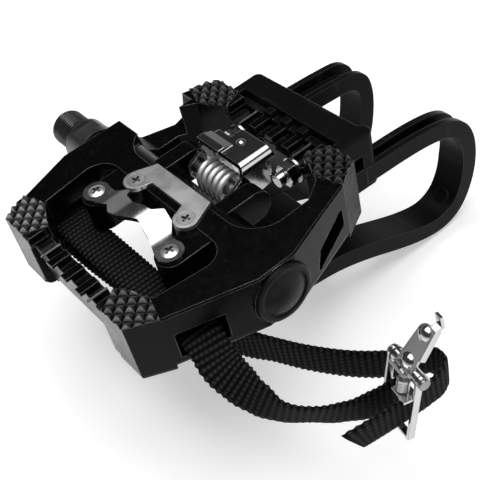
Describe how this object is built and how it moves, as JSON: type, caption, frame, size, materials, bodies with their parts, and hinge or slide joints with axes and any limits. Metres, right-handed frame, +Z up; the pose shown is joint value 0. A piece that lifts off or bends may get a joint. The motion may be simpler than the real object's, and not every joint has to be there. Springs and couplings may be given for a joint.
{
  "type": "toe clip pedal",
  "caption": "Left bicycle pedal with a sprung cleat binding on its upper face and a toe clip with a buckled strap below, turning on a threaded spindle.",
  "frame": {"origin": "on the spindle axis at the shoulder that meets the crank arm, where the thread begins", "axes": "+X out along the spindle away from the crank, +Y towards the toe clip, +Z up out of the cleat face"},
  "size_m": [0.1853, 0.1616, 0.0762],
  "materials": {
    "cast_body": "cast, coated satin black",
    "steel": "satin",
    "chrome": "bright plated",
    "bronze": "sintered",
    "rubber": "matt",
    "cap_plastic": "satin",
    "clip_plastic": "satin moulded",
    "webbing": "ribbed weave"
  },
  "bodies": {
    "spindle": {"spindle": "steel", "bearing_inner_ring": "steel", "lock_washer": "steel", "lock_nut": "steel"},
    "pedal": {"pedal_body": "cast_body", "axle_bush": "bronze", "axle_seal": "rubber", "bearing_outer_ring": "steel", "bearing_balls": "steel", "dust_cap": "cap_plastic", "cleat_plate": "steel", "cleat_plate_screws": "chrome", "front_claw": "chrome", "front_claw_screws": "chrome", "claw_pivot_pin": "steel", "claw_spring": "chrome", "toe_clip": "clip_plastic", "toe_clip_bolts": "chrome", "toe_clip_washers": "chrome", "toe_clip_nuts": "chrome", "toe_strap": "webbing", "buckle_frame": "chrome", "buckle_pin": "steel", "buckle_spring": "chrome"},
    "rear_claw": {"rear_claw": "chrome", "claw_rivet": "chrome"},
    "tension_screw": {"tension_screw": "chrome"},
    "tension_block": {"tension_block": "steel"},
    "buckle_lever": {"buckle_lever": "chrome", "buckle_rivets": "chrome"}
  },
  "joints": [
    {"name": "pedal_spin", "type": "hinge", "parent": "spindle", "child": "pedal", "pos_m": [0.065, 0, 0], "axis": [1, 0, 0], "continuous": true},
    {"name": "rear_claw_pivot", "type": "hinge", "parent": "pedal", "child": "rear_claw", "pos_m": [0.065, 0.017, 0.004], "axis": [-1, 0, 0], "range_deg": [0, 14], "stiffness_Nm_per_rad": 6, "springref_deg": -28.65, "deforming": ["claw_spring"]},
    {"name": "tension_turn", "type": "hinge", "parent": "rear_claw", "child": "tension_screw", "pos_m": [0.065, 0.033, 0.005], "axis": [0, 1, 0], "range_deg": [-720, 720]},
    {"name": "tension_slide", "type": "slide", "parent": "rear_claw", "child": "tension_block", "axis": [0, 1, 0], "range_m": [-0.0014, 0.0014]},
    {"name": "buckle_lever_pivot", "type": "hinge", "parent": "pedal", "child": "buckle_lever", "pos_m": [0.1627, 0.00846, -0.00669], "axis": [0.9799, -0.1994, 0], "range_deg": [-25, 0], "stiffness_Nm_per_rad": 0.2, "springref_deg": 22.92}
  ],
  "couplings": [
    {"joint": "tension_turn", "follows": "tension_slide", "rad_per_m": 8976}
  ]
}
